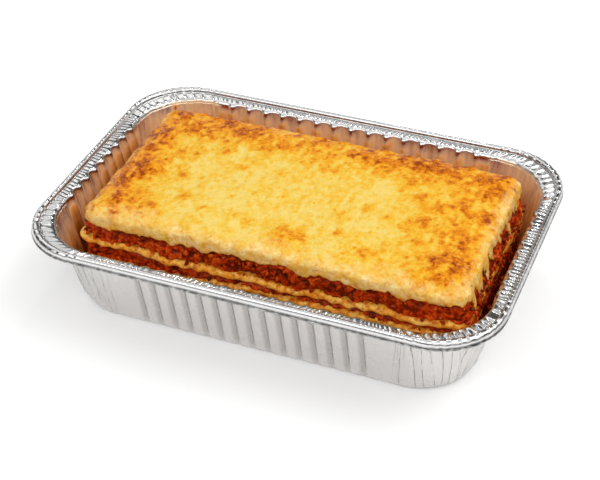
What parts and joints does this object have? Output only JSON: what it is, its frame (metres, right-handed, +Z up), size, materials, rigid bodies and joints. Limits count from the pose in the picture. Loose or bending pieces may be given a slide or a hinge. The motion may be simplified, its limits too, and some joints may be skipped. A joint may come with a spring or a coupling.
{
  "type": "foil tray meal",
  "caption": "Oblong foil takeaway tray with pleated walls and a rolled rim, holding a layered lasagne slab under browned melted cheese.",
  "frame": {"origin": "middle of the tray's underside, on the surface that it stands on", "axes": "+X along the tray's length, +Y towards its back long side, +Z up"},
  "size_m": [0.214, 0.145, 0.0504],
  "materials": {
    "foil": "bright pressed foil",
    "sauce": "wet, granular meat sauce",
    "pasta": "moist cooked pasta",
    "cheese": "melted cheese with browned patches"
  },
  "bodies": {
    "root": {"foil_tray": "foil", "sauce_bottom": "sauce", "pasta_lower": "pasta", "sauce_middle": "sauce", "pasta_upper": "pasta", "sauce_top": "sauce", "cheese_top": "cheese"}
  },
  "joints": []
}
